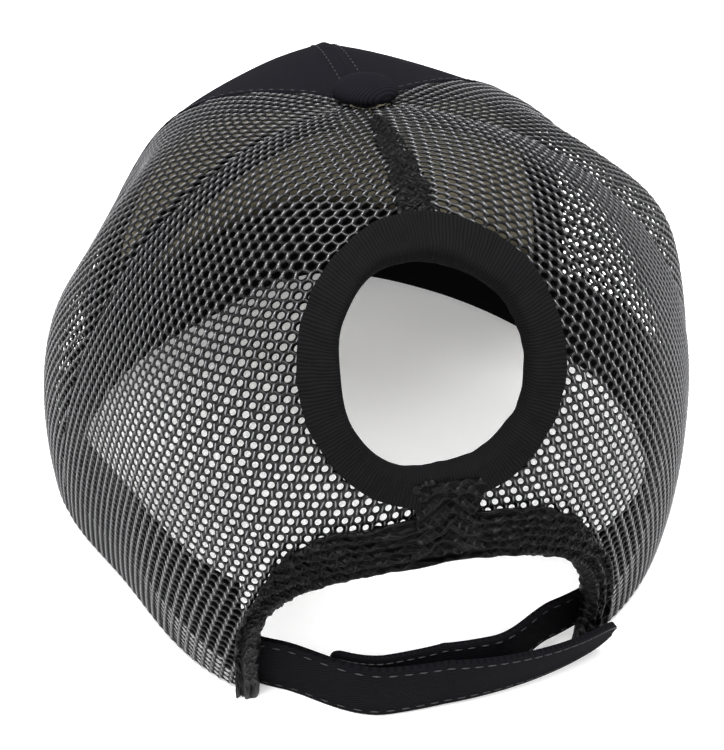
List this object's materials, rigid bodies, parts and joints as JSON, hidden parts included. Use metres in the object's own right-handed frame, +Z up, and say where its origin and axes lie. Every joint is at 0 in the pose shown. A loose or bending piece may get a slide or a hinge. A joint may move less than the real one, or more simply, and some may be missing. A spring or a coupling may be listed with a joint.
{
  "type": "ponytail baseball cap",
  "caption": "Six-panel net-backed cap with solid front panels, a peak, a bound ponytail hole high on the back and a lapped strap across the arch at the rim.",
  "frame": {"origin": "on the surface that the rim rests on, under the middle of the cap's outer box", "axes": "+X to the wearer's left, +Y to the back of the head, +Z up out of the crown; the peak points to -Y"},
  "size_m": [0.1842, 0.2716, 0.1158],
  "materials": {
    "twill": "charcoal cotton twill, foam backed at the front, fine diagonal rib",
    "net": "open knitted polyester net with zigzag cords, slight gloss",
    "folded_net": "the same net folded double at seams and edges",
    "binding": "bias-cut twill binding with fine cross ribs and stitching",
    "tape": "black plain-weave seam tape",
    "sweatband": "black brushed cotton sweatband",
    "strap": "charcoal woven strap with hook and loop lap, stitched edges"
  },
  "bodies": {
    "root": {"front_panel_left": "twill", "front_panel_right": "twill", "side_mesh_left": "net", "side_mesh_right": "net", "back_mesh_left": "net", "back_mesh_right": "net", "front_seam_tape_left": "tape", "front_seam_tape_right": "tape", "side_seam_tape_left": "tape", "side_seam_tape_right": "tape", "back_seam_strip": "folded_net", "back_seam_tab": "folded_net", "hole_binding": "binding", "arch_binding": "folded_net", "sweatband": "sweatband", "strap_outer": "strap", "strap_inner": "strap", "peak": "twill", "button": "twill"}
  },
  "joints": []
}
